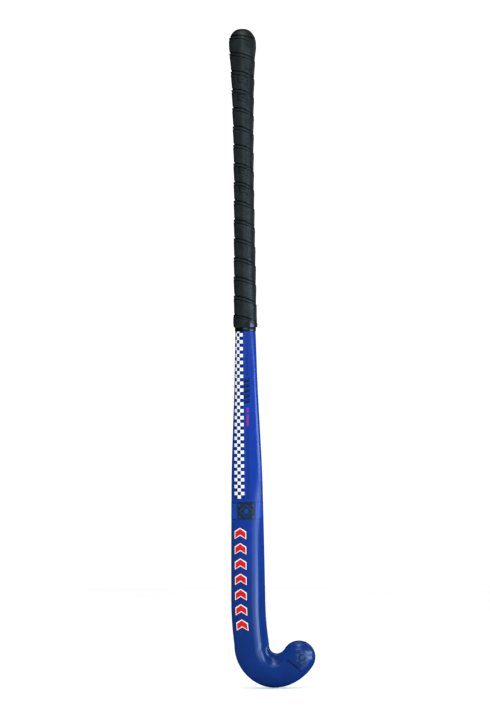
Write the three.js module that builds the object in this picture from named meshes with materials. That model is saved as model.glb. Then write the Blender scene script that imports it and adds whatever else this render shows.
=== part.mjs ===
// Field hockey stick: a moulded glass-fibre shell over foam cores, with a wound grip, a butt cap and decals.
//
// Heights are in millimetres from the lowest point of the head, up the handle. The handle runs along +Z, the
// toe points to +X, the rounded back faces -Y and the flat playing face faces +Y. The last lines lower the
// stick so that the origin is on the handle's axis at the middle of the grip, where it is held.
import * as THREE from "three";

// ---- driving dimensions, mm ----
const LENGTH = 927; // 36.5 inch stick, heel to butt
const GRIP_BOTTOM = 508;
const GRIP_TOP = 912.6;
const HOLD_HEIGHT = 711; // middle of the grip
const CAP_BASE = 913.2;
const GAP = 0.35; // between pieces that touch on the real stick

// Head: an inner and an outer curve about the bend centre, closed by a round toe.
const BEND_CENTRE = { x: 41, z: 60.3 };
const BEND_START = Math.PI; // the chord level with the bend centre
const BEND_END = THREE.MathUtils.degToRad(330); // the chord through the toe's centre
const OUTER_RADIUS = { heel: 61.4, toe: 57.4 };
const INNER_RADIUS = { heel: 12.2, toe: 10.7 };
const HEAD_SWING = 4.4; // how far the shaft's centre has moved toward the toe at the bend
const SWING_TOP = 125; // height where that sideways swing begins

// Cross-section: flat playing face, rolled edges, domed back.
const FACE_DEPTH = 11; // from the handle's axis to the playing face
const PARTING_DEPTH = 4.5; // depth of the widest line, behind the rolled edge of the face
const EDGE_ROLL = 6; // width of the rolled edge beside the flat face
const BACK_FULLNESS = 2.3; // 2 is an ellipse, more is squarer
const OVAL_EXTRA = 1.8; // how much deeper than wide the oval handle is, each side
const OVAL_ABOVE = 600; // the handle is a plain oval above this height
const FLAT_BELOW = 440; // the face is fully flat below this height

// Bow: the shaft curves toward the playing side, then runs straight through the head.
const BOW_TOP = 560;
const BOW_BOTTOM = 110;
const BOW_SLOPE = 0.11;

// Laminate and inner pieces.
const SHAFT_WALL = 2.4;
const HEAD_WALL = 6.5;
const CAVITY_END = THREE.MathUtils.degToRad(318);
const CORE_SPLIT = 130; // shaft core above, head core below
const PLY_THICKNESS = 1.2;
const PLUG_LENGTH = 44;
const STEM_RADIUS = 5; // the cap's stem, pushed into the plug
const STEM_LENGTH = 16;
const CAP_DOME = { width: 18, depth: 19.5, height: 18 }; // half width, half depth and height

// Grip: one tape wound from the butt down.
const TAPE_THICKNESS = 1.6;
const TAPE_PITCH = 25.3; // at the top, and growing a little with each turn
const TAPE_STRETCH = 0.0633;
const FIRST_CREASE = 892.8; // where the first turn's lower edge shows, on the heel's side
const TAPE_LEAN = 4.2; // each turn leans, higher at the back of the stick than at the face
const COLLAR_BOTTOM = 822;
const FINISH_BOTTOM = 502.5;
const FINISH_THICKNESS = 0.5;

const DECAL_THICKNESS = 0.25;
const RED_MARKS = { count: 7, pitch: 21.5, bottom: 86, height: 12, rise: 5, left: -19.5, right: -1.6 };
const COLLAR_BAND = { bottom: 239, top: 263, line: 1.4, badge: 26 };
const TOE_BADGE = { x: 74.5, z: 43, radius: 10 };
const TOE_DASHES = { x: 64, z: 31.8, length: 24, width: 2.4, slope: THREE.MathUtils.degToRad(-40) };
const SIDES = 24; // points round a section
const TAPE_STEPS = 16; // steps in one turn of the tape

// ---- profiles along the stick ----
// A smooth curve through a few (height, value) points.
function profile(points) {
  const curve = new THREE.SplineCurve(points.map(([height, value]) => new THREE.Vector2(height, value)));
  const samples = curve.getPoints(points.length * 24);
  return (height) => {
    const next = samples.findIndex((p) => p.x >= height);
    if (next < 0) return samples.at(-1).y;
    if (next === 0) return samples[0].y;
    const [a, b] = [samples[next - 1], samples[next]];
    return THREE.MathUtils.mapLinear(height, a.x, b.x, a.y, b.y);
  };
}

const shellHalfWidth = profile([
  [60, 24.7], [107, 24.2], [174, 23.6], [241, 22.7], [309, 21.4], [360, 19.3], [427, 16.4],
  [494, 14.6], [528, 13.4], [595, 12.2], [713, 11.1], [927, 11.1],
]);
const gripHalfWidth = profile([
  [500, 16.2], [528, 15.9], [580, 15.1], [650, 14.3], [720, 13.9], [790, 14.4], [850, 15.7],
  [885, 17.2], [900, 18.4], [913, 17.8],
]);
const backDepth = profile([[60, 9.6], [200, 10.4], [320, 11.6], [440, 13.4], [560, 14], [927, 14]]);

const easeBetween = (value, from, to) => THREE.MathUtils.smoothstep(value, from, to);
const flatness = (height) => 1 - easeBetween(height, FLAT_BELOW, OVAL_ABOVE);

function bow(height) {
  if (height > BOW_TOP) return 0;
  if (height > BOW_BOTTOM) return (BOW_SLOPE * (BOW_TOP - height) ** 2) / (2 * (BOW_TOP - BOW_BOTTOM));
  return BOW_SLOPE * ((BOW_TOP - BOW_BOTTOM) / 2 + BOW_BOTTOM - height);
}

// ---- stations: where a cross-section stands, and how wide it is ----
function shaftStation(height) {
  const swing = HEAD_SWING * Math.max(0, (SWING_TOP - height) / (SWING_TOP - BEND_CENTRE.z)) ** 2;
  return { x: swing, z: height, across: { x: 1, z: 0 }, half: shellHalfWidth(height), height };
}

function bendStation(angle) {
  const outer = THREE.MathUtils.lerp(OUTER_RADIUS.heel, OUTER_RADIUS.toe, easeBetween(angle, 4.25, 5.45));
  const inner = THREE.MathUtils.lerp(INNER_RADIUS.heel, INNER_RADIUS.toe, easeBetween(angle, 4.0, 5.4));
  const middle = (outer + inner) / 2;
  return {
    x: BEND_CENTRE.x + middle * Math.cos(angle),
    z: BEND_CENTRE.z + middle * Math.sin(angle),
    across: { x: -Math.cos(angle), z: -Math.sin(angle) },
    half: (outer - inner) / 2,
    height: BEND_CENTRE.z,
  };
}

// The round toe: chords across it, from the last bend station to the tip.
function toeStation(angle) {
  const base = bendStation(BEND_END);
  const reach = base.half * Math.sin(angle);
  return {
    ...base,
    x: base.x + base.across.z * reach,
    z: base.z - base.across.x * reach,
    half: base.half * Math.cos(angle),
    toeRadius: base.half,
    reach,
  };
}

// The dome of the back: 1 along the middle, 0 at the edge.
const domed = (out) => (1 - out ** BACK_FULLNESS) ** (1 / BACK_FULLNESS);

// A point of the section at one station. grow moves the whole outline outwards.
function sectionPoint(station, turn, grow = 0, faceCut = 0) {
  const across = station.half * Math.cos(turn);
  const full = station.toeRadius ?? station.half;
  const out = Math.min(1, Math.hypot(across, station.reach ?? 0) / full); // 0 at the middle, 1 at the edge
  const size = full + grow;
  const face = FACE_DEPTH + grow - faceCut;
  const rollStart = 1 - (EDGE_ROLL + grow / 2) / size;
  const roll = Math.max(0, (out - rollStart) / (1 - rollStart));
  const flatFace = PARTING_DEPTH + (face - PARTING_DEPTH) * Math.sqrt(Math.max(0, 1 - roll * roll));
  const back = PARTING_DEPTH - (PARTING_DEPTH + backDepth(station.height) + grow) * domed(out);
  const oval = (station.half + OVAL_EXTRA + grow) * Math.sin(turn);
  const shaped = Math.sin(turn) >= 0 ? flatFace : back;
  const depth = THREE.MathUtils.lerp(oval, shaped, flatness(station.height));
  const along = across * (size / full);
  const x = station.x + station.across.x * along;
  const z = station.z + station.across.z * along;
  return new THREE.Vector3(x, depth + bow(z), z);
}

function ring(station, grow = 0, faceCut = 0) {
  const turns = Array.from({ length: SIDES }, (_, i) => (2 * Math.PI * i) / SIDES);
  return turns.map((turn) => sectionPoint(station, turn, grow, faceCut));
}

// ---- solids ----
const steps = (from, to, count) => {
  return Array.from({ length: count + 1 }, (_, i) => from + ((to - from) * i) / count);
};

// A closed solid through rings of equal length. A sleeve joins its last ring to its first. Any other has
// two caps, which pair each point with the one across, so they suit round rings and thin curved strips.
function loft(rings, { sleeve = false } = {}) {
  const count = rings[0].length;
  const points = rings.flat();
  const faces = [];
  const addQuad = (a, b, c, d) => faces.push([a, b, c], [a, c, d]);
  const join = (a, b) => {
    for (let i = 0; i < count; i++) {
      const j = (i + 1) % count;
      addQuad(a * count + i, a * count + j, b * count + j, b * count + i);
    }
  };
  for (let i = 0; i + 1 < rings.length; i++) join(i, i + 1);
  if (sleeve) {
    join(rings.length - 1, 0);
  } else {
    const last = (rings.length - 1) * count;
    for (let i = 0; i + 1 < count / 2; i++) {
      const [near, far] = [i + 1, count - 2 - i];
      addQuad(i, far + 1, far, near);
      addQuad(last + i, last + near, last + far, last + far + 1);
    }
  }
  const volume = faces.reduce((sum, [a, b, c]) => {
    return sum + points[a].dot(new THREE.Vector3().crossVectors(points[b], points[c]));
  }, 0);
  const outward = volume > 0 ? faces : faces.map(([a, b, c]) => [a, c, b]);
  const geometry = new THREE.BufferGeometry().setFromPoints(points);
  geometry.setIndex(outward.flat());
  geometry.computeVertexNormals();
  return geometry;
}

function material(color, roughness, metalness = 0) {
  return new THREE.MeshStandardMaterial({ color, roughness, metalness });
}

const paint = material(0x0a3aa6, 0.3);
const foam = material(0xd9cfa8, 0.9);
const denseFoam = material(0xb89b62, 0.8);
const aramid = material(0xc9a23a, 0.6);
const hardPlastic = material(0x3a3d40, 0.5);
const rubber = material(0x15181a, 0.65);
const gripPolyurethane = material(0x1d2224, 0.5);
const vinylTape = material(0x0d0f10, 0.25);
const whiteFilm = material(0xf2f3ee, 0.3);
const redFilm = material(0xe0151c, 0.3);
const blackFilm = material(0x14202b, 0.3);
const navyFilm = material(0x1b2a75, 0.3);

const stick = new THREE.Group();
function add(name, geometry, look) {
  const mesh = new THREE.Mesh(geometry, look);
  mesh.name = name;
  stick.add(mesh);
  return mesh;
}

// ---- shell and cores ----
const shaftHeights = [
  ...steps(GRIP_TOP, 620, 8), ...steps(590, 450, 7), ...steps(425, 150, 11), ...steps(130, 70, 5),
];
const outerStations = [
  ...shaftHeights.map(shaftStation),
  ...steps(BEND_START, BEND_END, 18).map(bendStation),
  ...steps(0, Math.PI / 2, 8).slice(1, -1).map(toeStation),
  toeStation(Math.PI / 2 - 0.03),
];
const innerShaftHeights = [
  GRIP_TOP, GRIP_TOP - PLUG_LENGTH, 740, ...steps(620, 440, 6), ...steps(380, 180, 4), CORE_SPLIT,
];
const innerHeadHeights = [110, 90, 72];
const innerBendStations = steps(BEND_START, CAVITY_END, 9).map(bendStation);

const wallAt = (station) =>
  THREE.MathUtils.lerp(HEAD_WALL, SHAFT_WALL, easeBetween(station.z, 90, 170));
const cavityRing = (station, gap = 0, faceCut = 0) => ring(station, -(wallAt(station) + gap), faceCut);

function buildShell() {
  const cavity = [
    ...innerShaftHeights.map(shaftStation),
    ...innerHeadHeights.map(shaftStation),
    ...innerBendStations,
  ];
  const inside = cavity.map((station) => cavityRing(station)).reverse();
  const outside = outerStations.map((station) => ring(station));
  add("moulded_shell", loft([...inside, ...outside]), paint);
}

function buildShaftCore() {
  const heights = innerShaftHeights.filter((height) => height < GRIP_TOP - 1);
  heights[0] -= GAP;
  heights[heights.length - 1] += GAP;
  add("shaft_foam_core", loft(heights.map((height) => cavityRing(shaftStation(height), GAP))), foam);
}

function buildHeadCore() {
  const stations = [
    ...[CORE_SPLIT, ...innerHeadHeights].map(shaftStation),
    ...innerBendStations.slice(0, -1),
    bendStation(CAVITY_END - 0.03),
  ];
  const room = PLY_THICKNESS + GAP; // the reinforcing ply lies between this core and the face wall
  add("head_core", loft(stations.map((station) => cavityRing(station, GAP, room))), denseFoam);
}

// A flat ply bonded inside the playing face, from the lower shaft round to the toe.
function buildFacePly() {
  const stations = [
    ...[CORE_SPLIT, ...innerHeadHeights].map(shaftStation),
    ...innerBendStations.slice(0, -1),
  ];
  const rings = stations.map((station) => {
    const top = FACE_DEPTH - wallAt(station) - GAP;
    const half = (station.half - wallAt(station)) * 0.55;
    const edge = (depth) => [[-half, depth], [0, depth], [half, depth]];
    const corners = [...edge(top), ...edge(top - PLY_THICKNESS).reverse()];
    return corners.map(([along, depth]) => {
      const x = station.x + station.across.x * along;
      const z = station.z + station.across.z * along;
      return new THREE.Vector3(x, depth + bow(z), z);
    });
  });
  add("face_reinforcing_ply", loft(rings), aramid);
}

// ---- butt end ----
function circle(radius, height) {
  return steps(0, 2 * Math.PI, SIDES).slice(0, -1).map((turn) => {
    return new THREE.Vector3(radius * Math.cos(turn), radius * Math.sin(turn), height);
  });
}

function buildEndPlug() {
  const bottom = GRIP_TOP - PLUG_LENGTH + GAP;
  const boreBottom = GRIP_TOP - STEM_LENGTH - GAP;
  add("end_plug", loft([
    cavityRing(shaftStation(bottom), GAP),
    cavityRing(shaftStation(GRIP_TOP), GAP),
    circle(STEM_RADIUS + GAP, GRIP_TOP),
    circle(STEM_RADIUS + GAP, boreBottom),
  ]), hardPlastic);
}

function buildButtCap() {
  const domeCentre = LENGTH - CAP_DOME.height;
  const firstLean = Math.asin((CAP_BASE - domeCentre) / CAP_DOME.height);
  const dome = steps(firstLean, Math.PI / 2 - 0.12, 6).map((lean) => {
    const flat = new THREE.Vector3(CAP_DOME.width * Math.cos(lean), CAP_DOME.depth * Math.cos(lean), 1);
    return circle(1, domeCentre + CAP_DOME.height * Math.sin(lean)).map((p) => p.multiply(flat));
  });
  add("butt_cap", loft([
    circle(STEM_RADIUS, GRIP_TOP - STEM_LENGTH),
    circle(STEM_RADIUS, CAP_BASE),
    ...dome,
    circle(0.6, LENGTH),
  ]), rubber);
}

const gripGrow = (height) => gripHalfWidth(height) - shellHalfWidth(height);
const collarGrow = (height) => gripGrow(height) - TAPE_THICKNESS - 2 * GAP;

function buildFlareCollar() {
  const heights = steps(COLLAR_BOTTOM, GRIP_TOP, 8);
  const inside = heights.map((height) => ring(shaftStation(height), GAP));
  const outside = heights.map((height) => ring(shaftStation(height), collarGrow(height))).reverse();
  add("butt_flare_collar", loft([...inside, ...outside], { sleeve: true }), foam);
}

// ---- grip ----
// Height of a turn's upper edge, which is also the lower edge of the turn above it.
function tapeEdge(turns) {
  const below = turns - 0.5;
  const lean = TAPE_LEAN * (1 - below / 30);
  return FIRST_CREASE - TAPE_PITCH * below - TAPE_STRETCH * below ** 2 - lean * Math.sin(2 * Math.PI * turns);
}

// The tape's section at each step runs up its inner side and down its outer side.
function buildGripTape() {
  const [first, last] = [-1, 16];
  const rings = [];
  for (const step of steps(first, last, (last - first) * TAPE_STEPS)) {
    const turn = 2 * Math.PI * step;
    const top = Math.min(GRIP_TOP, tapeEdge(step));
    const bottom = Math.max(GRIP_BOTTOM, tapeEdge(step + 1) + GAP);
    if (top - bottom < 2) continue;
    const heights = [bottom, (bottom + top) / 2, top];
    const at = (height, grow) => sectionPoint(shaftStation(height), turn, grow);
    rings.push([
      ...heights.map((height) => at(height, gripGrow(height) - TAPE_THICKNESS)),
      ...heights.reverse().map((height) => at(height, gripGrow(height))),
    ]);
  }
  add("grip_tape", loft(rings), gripPolyurethane);
}

// Glossy tape closes the grip's lower end: a ring on the shaft, and a tab over the last turn.
function buildFinishTape() {
  const heights = [FINISH_BOTTOM, GRIP_BOTTOM - GAP];
  const inside = heights.map((height) => ring(shaftStation(height), GAP));
  const outside = heights.map((height) => ring(shaftStation(height), GAP + FINISH_THICKNESS)).reverse();
  add("finish_tape", loft([...inside, ...outside], { sleeve: true }), vinylTape);
  const tab = { left: 0, right: 11, bottom: GRIP_BOTTOM + 1, top: GRIP_BOTTOM + 12 };
  const lift = (height) => gripGrow(height) + GAP;
  add("finish_tape_tab", shaftFilm(tab.left, tab.right, tab.bottom, tab.top, 2, 6, lift), vinylTape);
}

// ---- decals: thin films that follow the back of the stick ----
const BACK = (3 * Math.PI) / 2; // the turn that points straight back

// The turn round the section at a distance along the surface from the middle of the back.
function turnAt(station, distance) {
  const stride = Math.sign(distance) * 0.01;
  let [turn, walked] = [BACK, 0];
  let here = sectionPoint(station, turn);
  while (walked < Math.abs(distance)) {
    const next = sectionPoint(station, turn + stride);
    walked += next.distanceTo(here);
    turn += stride;
    here = next;
  }
  return turn;
}

// A thin film: each row is a list of (station, turn) places, laid on the surface that lift gives.
function filmOver(rows, lift = () => GAP) {
  const layer = (row, extra) =>
    row.map(([station, turn]) => sectionPoint(station, turn, lift(station.z) + extra));
  return loft(rows.map((row) => [...layer(row, 0), ...layer(row, DECAL_THICKNESS).reverse()]));
}

// A film on the shaft between two distances from the middle of the back and two heights.
function shaftFilm(left, right, bottom, top, rows = 6, columns = 8, lift = undefined) {
  return filmOver(steps(bottom, top, rows).map((height) => {
    const station = shaftStation(height);
    return steps(left, right, columns).map((distance) => [station, turnAt(station, distance)]);
  }), lift);
}

// A chevron on the shaft, pointing up the stick.
function chevronFilm(left, right, bottom, height, rise) {
  return filmOver(steps(0, height, 2).map((above) => {
    return steps(-1, 1, 8).map((side) => {
      const station = shaftStation(bottom + above - rise * Math.abs(side));
      const distance = THREE.MathUtils.mapLinear(side, -1, 1, left, right);
      return [station, turnAt(station, distance)];
    });
  }));
}

// The point on the head's rounded back over a point of the plan, lifted off the surface.
function headBack(x, z, lift) {
  const [dx, dz] = [x - BEND_CENTRE.x, z - BEND_CENTRE.z];
  const angle = THREE.MathUtils.euclideanModulo(Math.atan2(dz, dx), 2 * Math.PI);
  const onBend = angle > BEND_START && angle < BEND_END;
  const station = bendStation(onBend ? angle : BEND_END);
  const out = Math.min(1, Math.hypot(x - station.x, z - station.z) / station.half);
  const depth = PARTING_DEPTH - (PARTING_DEPTH + backDepth(station.height)) * domed(out);
  return new THREE.Vector3(x, depth - lift + bow(z), z);
}

function buildToeBadge() {
  const at = (radius, lift) =>
    circle(radius, 0).map((p) => headBack(TOE_BADGE.x + p.x, TOE_BADGE.z + p.y, lift));
  const radii = [0.3, 0.6, 0.8, 1].map((share) => share * TOE_BADGE.radius);
  add("toe_badge_decal", loft([
    ...radii.map((radius) => at(radius, GAP)),
    ...radii.toReversed().map((radius) => at(radius, GAP + DECAL_THICKNESS)),
  ]), blackFilm);
}

function buildToeDashRow() {
  const { x, z, length, width, slope } = TOE_DASHES;
  const [cos, sin] = [Math.cos(slope), Math.sin(slope)];
  const at = (s, t, lift) => headBack(x + cos * s - sin * t, z + sin * s + cos * t, lift);
  const edges = [-width / 2, 0, width / 2];
  const rings = steps(-length / 2, length / 2, 8).map((s) => [
    ...edges.map((t) => at(s, t, GAP)),
    ...edges.toReversed().map((t) => at(s, t, GAP + DECAL_THICKNESS)),
  ]);
  add("toe_dash_row_decal", loft(rings), blackFilm);
}

function buildShaftDecals() {
  const filmTop = FINISH_BOTTOM - 1;
  add("check_strip_decal", shaftFilm(-18.6, -3.9, 268.7, filmTop, 10), whiteFilm);
  add("upper_pin_stripe_decal", shaftFilm(0.4, 3.3, 441, filmTop, 3, 1), navyFilm);
  add("slash_block_decal", shaftFilm(-2.4, 4.9, 401, 437.5, 2, 2), blackFilm);
  add("red_dash_decal", shaftFilm(0.4, 3.3, 371, 396.6, 2, 1), redFilm);
  add("lower_pin_stripe_decal", shaftFilm(0.6, 3.5, 268, 369, 5, 1), navyFilm);
}

function buildRedMarks() {
  const { count, pitch, bottom, height, rise, left, right } = RED_MARKS;
  for (let i = 0; i < count; i++) {
    const film = chevronFilm(left, right, bottom + i * pitch, height, rise);
    add(`red_mark_${i + 1}_decal`, film, redFilm);
  }
}

// A band of darker blue film round the shaft, edged by two black lines, with a badge on the back.
function buildCollarBand() {
  const { bottom, top, line, badge } = COLLAR_BAND;
  for (const [name, low] of [["lower_band_line_decal", bottom], ["upper_band_line_decal", top - line]]) {
    const stations = [low, low + line].map(shaftStation);
    const inside = stations.map((station) => ring(station, GAP));
    const outside = stations.map((station) => ring(station, GAP + DECAL_THICKNESS)).reverse();
    add(name, loft([...inside, ...outside], { sleeve: true }), blackFilm);
  }
  const [low, high] = [bottom + line + GAP, top - line - GAP];
  const wrap = steps(low, high, 2).map((height) => {
    const station = shaftStation(height);
    const from = turnAt(station, badge / 2 + GAP);
    const to = turnAt(station, -badge / 2 - GAP) + 2 * Math.PI;
    return steps(from, to, 24).map((turn) => [station, turn]);
  });
  add("collar_band_decal", filmOver(wrap), navyFilm);
  add("collar_badge_decal", shaftFilm(-badge / 2, badge / 2, low, high, 2), blackFilm);
}

buildShell();
buildShaftCore();
buildHeadCore();
buildFacePly();
buildEndPlug();
buildButtCap();
buildFlareCollar();
buildGripTape();
buildFinishTape();
buildShaftDecals();
buildRedMarks();
buildCollarBand();
buildToeBadge();
buildToeDashRow();

const part = new THREE.Group();
stick.position.z = -HOLD_HEIGHT;
part.add(stick);

export default part;
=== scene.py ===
import functools
import math

import bmesh
import bpy
import numpy as np
from mathutils import Matrix, Vector


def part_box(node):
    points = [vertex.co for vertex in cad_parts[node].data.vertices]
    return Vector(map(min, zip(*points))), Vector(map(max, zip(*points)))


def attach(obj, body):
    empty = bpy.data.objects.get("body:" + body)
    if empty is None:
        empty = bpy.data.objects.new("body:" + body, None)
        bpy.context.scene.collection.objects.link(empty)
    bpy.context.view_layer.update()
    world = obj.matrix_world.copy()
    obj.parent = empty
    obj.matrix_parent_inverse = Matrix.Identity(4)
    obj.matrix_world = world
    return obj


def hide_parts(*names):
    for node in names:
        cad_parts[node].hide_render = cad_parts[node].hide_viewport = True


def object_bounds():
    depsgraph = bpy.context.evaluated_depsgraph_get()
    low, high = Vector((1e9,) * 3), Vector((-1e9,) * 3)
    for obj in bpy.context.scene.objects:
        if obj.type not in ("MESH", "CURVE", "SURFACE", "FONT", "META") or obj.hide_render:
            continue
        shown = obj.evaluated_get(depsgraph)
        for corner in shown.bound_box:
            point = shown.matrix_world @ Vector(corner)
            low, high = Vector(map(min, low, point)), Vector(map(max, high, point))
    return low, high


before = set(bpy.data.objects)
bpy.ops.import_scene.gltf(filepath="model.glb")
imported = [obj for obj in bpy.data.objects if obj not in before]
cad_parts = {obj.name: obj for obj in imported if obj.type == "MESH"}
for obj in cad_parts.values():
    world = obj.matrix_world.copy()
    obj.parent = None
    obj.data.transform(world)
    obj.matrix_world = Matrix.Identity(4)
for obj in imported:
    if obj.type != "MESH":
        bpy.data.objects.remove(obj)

CAD_LOW, CAD_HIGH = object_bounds()

# Lengths below are in millimetres, and heights are measured up from the head's lowest point. place() turns
# them into the frame's metres.
MM = 0.001
FOOT = CAD_LOW.z
LENGTH = (CAD_HIGH.z - FOOT) / MM


def levels(node):
    """Lowest and highest point of a CAD node, as heights in millimetres."""
    low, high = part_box(node)
    return (low.z - FOOT) / MM, (high.z - FOOT) / MM


GRIP_BOTTOM, GRIP_TOP = levels("grip_tape")
TAPE_BOTTOM, TAPE_TOP = levels("finish_tape")
TAB_BOTTOM, TAB_TOP = levels("finish_tape_tab")
STRIP_BOTTOM = levels("check_strip_decal")[0]
BAND_BOTTOM, BAND_TOP = levels("lower_band_line_decal")[0], levels("upper_band_line_decal")[1]

# ---- the shape of the stick ----
BEND_CENTRE = (41.0, 60.3)
BEND_START = math.pi
BEND_END = math.radians(330)
OUTER_RADIUS = (61.4, 57.4)  # at the heel, at the toe
INNER_RADIUS = (12.2, 10.7)
OUTER_TAPER = (4.25, 5.45)  # angles in radians between which the radius changes
INNER_TAPER = (4.0, 5.4)
HEAD_SWING = 4.4
SWING_TOP = 125.0

FACE_DEPTH = 11.0
PARTING_DEPTH = 4.5
EDGE_ROLL = 6.0
OVAL_EXTRA = 1.8
OVAL_ABOVE = 600.0
FLAT_BELOW = 440.0

BOW_TOP = 560.0
BOW_BOTTOM = 110.0
BOW_SLOPE = 0.11

TAPE_PITCH = 25.3  # at the top, and growing a little with each turn
TAPE_STRETCH = 0.0633
TAPE_LEAN = 4.2
FIRST_CREASE = 892.8  # where the first turn's lower edge shows, on the heel's side


def profile(points):
    """A smooth curve through (place, value) points, as a function."""
    places, values = np.array(points, float).T
    slopes = np.gradient(values, places)

    def at(place):
        place = np.clip(place, places[0], places[-1])
        i = np.clip(np.searchsorted(places, place) - 1, 0, len(places) - 2)
        width = places[i + 1] - places[i]
        t = (place - places[i]) / width
        start = (1 + 2 * t) * (1 - t) ** 2 * values[i] + t * (1 - t) ** 2 * width * slopes[i]
        end = t**2 * (3 - 2 * t) * values[i + 1] + t**2 * (t - 1) * width * slopes[i + 1]
        return start + end

    return at


def ease(value, start, end):
    t = np.clip((value - start) / (end - start), 0, 1)
    return t * t * (3 - 2 * t)


def mix(a, b, share):
    return a + (b - a) * share


shell_half_width = profile([
    (60, 24.7), (107, 24.2), (174, 23.6), (241, 22.7), (309, 21.4), (360, 19.3), (427, 16.4),
    (494, 14.6), (528, 13.4), (595, 12.2), (713, 11.1), (927, 11.1),
])
grip_half_width = profile([
    (500, 15.6), (508, 15.9), (515, 16.2), (528, 15.6), (580, 15.0), (650, 14.1), (720, 13.6),
    (790, 14.1), (850, 15.5), (885, 17.1), (900, 18.35), (908, 18.1), (913, 17.6), (917, 16.7), (921, 14.5),
])
back_depth = profile([(60, 9.6), (200, 10.4), (320, 11.6), (440, 13.4), (560, 14.0), (927, 14.0)])
back_fullness = profile([
    (60, 2.25), (215, 2.35), (300, 2.45), (430, 2.6), (500, 2.9), (560, 2.6), (927, 2.6),
])

# How far the head's ridge and flank are cut into the back, by height on the shaft and by degrees in the bend.
carving = profile([
    (60, 1), (105, 1), (150, 0.85), (225, 0.58), (262, 0.3), (290, 0.05), (310, 0), (330, 0), (927, 0),
])
bend_carving = profile([(180, 1), (225, 1), (245, 0.95), (262, 0.75), (285, 0.4), (305, 0.22), (330, 0.15)])

# The back's profile from its middle (0) to its toe-side edge (1). On the shaft it is a dome with a shoulder
# and a rounded edge. On the head it has a ridge and a steep flank, and in the bend the flank becomes a groove
# with a rim.
shouldered_back = profile([
    (0, 1), (0.3, 0.985), (0.5, 0.968), (0.68, 0.945), (0.74, 0.931), (0.79, 0.908), (0.83, 0.879),
    (0.87, 0.845), (0.91, 0.8), (0.945, 0.745), (0.97, 0.67), (0.985, 0.56), (0.995, 0.4), (1, 0),
])
flanked_back = profile([
    (0, 1), (0.12, 0.987), (0.34, 0.925), (0.44, 0.873), (0.5, 0.832), (0.56, 0.772),
    (0.62, 0.685), (0.66, 0.61), (0.72, 0.495), (0.8, 0.33), (0.9, 0.15), (1, 0),
])
grooved_back = profile([
    (0, 1), (0.2, 0.975), (0.38, 0.918), (0.5, 0.862), (0.6, 0.78), (0.64, 0.71), (0.70, 0.56),
    (0.75, 0.42), (0.80, 0.345), (0.85, 0.315), (0.90, 0.34), (1, 0.35),
])
SHOULDER_ENDS = (90, 60)  # heights between which the shoulder gives way to the bend's plain dome
SOFTER_ABOVE = (430, 490)  # heights between which it gives way in part, by SOFTENING
SOFTENING = 0.2
INNER_SIDE = (math.radians(95), math.radians(160))  # from the inner edge, where that edge's relief fades out

RIDGE = 0.62  # where the ridge is in the flanked and grooved profiles
# Round the bend the ridge moves from near there toward the middle of the head and partly back again.
ridge_place = profile([
    (180, 0.59), (197, 0.55), (215, 0.49), (232, 0.42), (245, 0.39), (285, 0.42), (330, 0.5),
])
RIDGE_SETTLES = (60, 120)  # heights between which it goes from its place in the bend to RIDGE
GROOVE_RIDGES = (0.5, 0.585)  # places of the ridge where the flank is a full groove, and where it has none
RIM_START = 0.9

TOE_CREASE = 0.1  # how deep the crease under the toe's rim is, as a share of the back's depth
CREASE_PLACE = 0.84  # how far out it starts at the inner edge
CREASE_DRIFT = 0.1  # and how much further out it moves between these directions
CREASE_DRIFT_TURN = (math.radians(40), math.radians(130))
CREASE_WIDTH = 0.035
CREASE_END = (1.9, 2.7)  # directions in radians where it fades out
CREASE_REACH = 4  # and how far out over the toe it is at its full depth


def flatness(height):
    return 1 - ease(height, FLAT_BELOW, OVAL_ABOVE)


def bow(height):
    """How far the stick's axis has moved toward the playing side."""
    curved = BOW_SLOPE * (BOW_TOP - height) ** 2 / (2 * (BOW_TOP - BOW_BOTTOM))
    straight = BOW_SLOPE * ((BOW_TOP - BOW_BOTTOM) / 2 + BOW_BOTTOM - height)
    return np.where(height > BOW_TOP, 0, np.where(height > BOW_BOTTOM, curved, straight))


def bow_slope(height):
    return BOW_SLOPE * np.clip((BOW_TOP - height) / (BOW_TOP - BOW_BOTTOM), 0, 1)


def outline(turn, half, height, full=None, reach=0.0, grow=0.0, carve=None, ridge=RIDGE):
    """A cross-section: distance toward the inner edge, and depth toward the playing face. reach moves the
    section out over the round toe, whose radius is full. carve is how far the head's ridge is cut in, and
    ridge is where it lies between the middle and the edge."""
    full = half if full is None else full
    carve = carving(height) if carve is None else carve
    across = half * np.cos(turn)
    out = np.minimum(1, np.hypot(across, reach) / full)
    size = full + grow
    face = FACE_DEPTH + grow
    roll_start = 1 - (EDGE_ROLL + grow / 2) / size
    roll = np.clip((out - roll_start) / (1 - roll_start), 0, 1)
    flat_face = PARTING_DEPTH + (face - PARTING_DEPTH) * np.sqrt(1 - roll**2)
    rise = back_rise(out, across, reach, height, carve, ridge)
    back = PARTING_DEPTH - (PARTING_DEPTH + back_depth(height) + grow) * rise
    oval = (half + OVAL_EXTRA + grow) * np.sin(turn)
    shaped = np.where(np.sin(turn) >= 0, flat_face, back)
    return across * size / full, mix(oval, shaped, flatness(height))


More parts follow.
